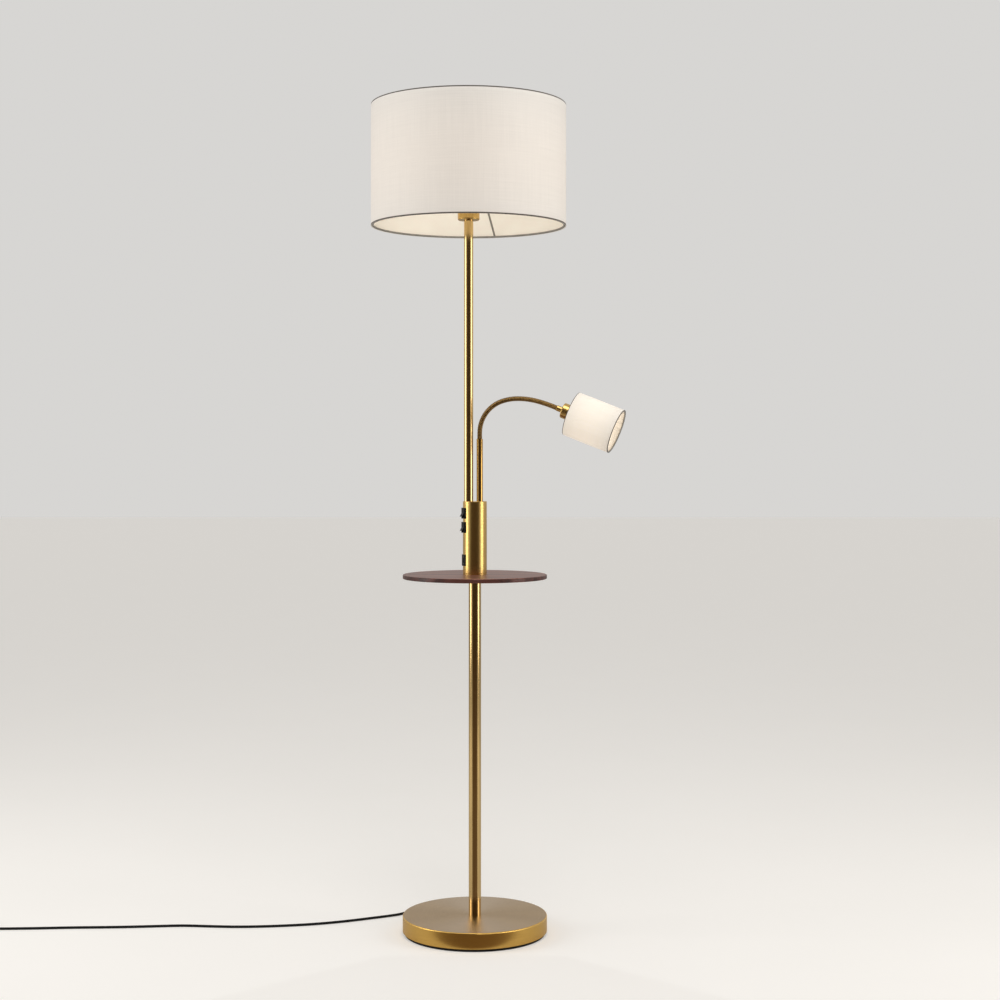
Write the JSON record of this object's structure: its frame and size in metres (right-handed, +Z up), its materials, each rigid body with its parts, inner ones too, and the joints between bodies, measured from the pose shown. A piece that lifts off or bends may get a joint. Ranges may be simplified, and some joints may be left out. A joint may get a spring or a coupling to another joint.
{
  "type": "floor lamp with table",
  "caption": "Floor lamp with a round foot, a round side table on its pole, a switch housing with a charging port, a drum shade, and a reading lamp on a gooseneck.",
  "frame": {"origin": "middle of the foot's underside, on the floor", "axes": "+Z up along the lower pole; -Y towards the front; the mains cord leaves at the back left, towards -X"},
  "size_m": [1.3912, 0.38, 1.607],
  "materials": {
    "brushed_brass": "brushed",
    "pole_brass": "satin",
    "iron": "rough",
    "pad_rubber": "matte",
    "steel": "zinc plated",
    "walnut": "semi gloss veneer",
    "black_plastic": "matte",
    "rocker_plastic": "satin",
    "port_steel": "bright",
    "board": "matte",
    "holder_plastic": "matte",
    "shade_fabric": "plain weave",
    "shade_liner": "matte",
    "white_wire": "white",
    "neck_metal": "dark bronze",
    "sleeve_metal": "dark satin",
    "bulb_glass": "opal",
    "bulb_cap": "bright",
    "cord_pvc": "satin",
    "plug_plastic": "matte",
    "pin_metal": "bright"
  },
  "bodies": {
    "stand": {"foot_cover": "brushed_brass", "foot_weight": "iron", "foot_pad": "pad_rubber", "foot_washer": "steel", "lamp_rods": "steel", "rod_nuts": "steel", "cord_bushing": "black_plastic", "lower_pole": "pole_brass", "lower_pole_inserts": "steel", "table_top": "walnut", "housing_tube": "brushed_brass", "housing_collar": "brushed_brass", "housing_cap": "brushed_brass", "upper_switch_body": "black_plastic", "lower_switch_body": "black_plastic", "switch_tabs": "steel", "port_frame": "black_plastic", "port_shell": "port_steel", "port_tongue": "holder_plastic", "port_board": "board", "upper_pole": "pole_brass", "upper_pole_inserts": "steel", "holder_cup": "brushed_brass", "main_holder": "holder_plastic", "shade_clamp_rings": "holder_plastic", "main_bulb_cap": "bulb_cap", "main_bulb": "bulb_glass", "shade_fabric": "shade_fabric", "shade_liner": "shade_liner", "shade_spider": "white_wire", "shade_top_ring": "white_wire", "neck_sleeve": "sleeve_metal", "neck_stud": "steel", "neck_nut": "steel", "neck_root": "neck_metal", "inner_lead": "cord_pvc", "mains_cord": "cord_pvc", "mains_cord_coil": "cord_pvc", "plug_body": "plug_plastic", "plug_pins": "pin_metal"},
    "upper_rocker": {"upper_switch_rocker": "rocker_plastic"},
    "lower_rocker": {"lower_switch_rocker": "rocker_plastic"},
    "neck_1": {"neck_link_1": "neck_metal"},
    "neck_2": {"neck_link_2": "neck_metal"},
    "neck_3": {"neck_link_3": "neck_metal"},
    "neck_4": {"neck_link_4": "neck_metal"},
    "neck_5": {"neck_link_5": "neck_metal"},
    "neck_6": {"neck_link_6": "neck_metal"},
    "reading_head": {"neck_tip": "neck_metal", "neck_ferrule": "neck_metal", "head_cup": "brushed_brass", "head_holder": "holder_plastic", "head_spider": "white_wire", "head_clamp_ring": "holder_plastic", "head_end_ring": "white_wire", "head_shade": "shade_fabric", "head_bulb_cap": "bulb_cap", "head_bulb": "bulb_glass"}
  },
  "joints": [
    {"name": "upper_switch_rock", "type": "hinge", "parent": "stand", "child": "upper_rocker", "pos_m": [-0.02172, -0.00922, 0.815], "axis": [0.3907, -0.9205, 0], "range_deg": [0, 30]},
    {"name": "lower_switch_rock", "type": "hinge", "parent": "stand", "child": "lower_rocker", "pos_m": [-0.02172, -0.00922, 0.7875], "axis": [0.3907, -0.9205, 0], "range_deg": [0, 30]},
    {"name": "neck_lean", "type": "hinge", "parent": "stand", "child": "neck_1", "pos_m": [0.00952, -0.00003, 0.975], "axis": [0.9681, -0.2504, 0], "range_deg": [-20, 20], "deforming": ["neck_root", "neck_link_1"]},
    {"name": "neck_bend", "type": "hinge", "parent": "neck_1", "child": "neck_2", "pos_m": [0.01653, -0.00184, 1.0008], "axis": [0.2504, 0.9681, 0], "range_deg": [-20, 10], "deforming": ["neck_link_1", "neck_link_2"]},
    {"name": "neck_bend_2", "type": "hinge", "parent": "neck_2", "child": "neck_3", "pos_m": [0.03315, -0.00614, 1.02138], "axis": [0.2504, 0.9681, 0], "range_deg": [-20, 10], "deforming": ["neck_link_2", "neck_link_3"]},
    {"name": "neck_bend_3", "type": "hinge", "parent": "neck_3", "child": "neck_4", "pos_m": [0.05646, -0.01217, 1.03318], "axis": [0.2504, 0.9681, 0], "range_deg": [-20, 10], "deforming": ["neck_link_3", "neck_link_4"]},
    {"name": "neck_swing", "type": "hinge", "parent": "neck_4", "child": "neck_5", "pos_m": [0.08229, -0.01885, 1.03676], "axis": [0, 0, 1], "range_deg": [-40, 40], "deforming": ["neck_link_4", "neck_link_5"]},
    {"name": "neck_bend_4", "type": "hinge", "parent": "neck_5", "child": "neck_6", "pos_m": [0.10829, -0.02558, 1.03437], "axis": [0.2504, 0.9681, 0], "range_deg": [-20, 10], "deforming": ["neck_link_5", "neck_link_6"]},
    {"name": "head_tilt", "type": "hinge", "parent": "neck_6", "child": "reading_head", "pos_m": [0.13356, -0.03211, 1.02757], "axis": [0.2504, 0.9681, 0], "range_deg": [-30, 30], "deforming": ["neck_link_6", "neck_tip"]}
  ],
  "couplings": [
    {"joint": "neck_bend_2", "follows": "neck_bend", "ratio": 1},
    {"joint": "neck_bend_3", "follows": "neck_bend", "ratio": 1},
    {"joint": "neck_bend_4", "follows": "neck_bend", "ratio": 1}
  ]
}
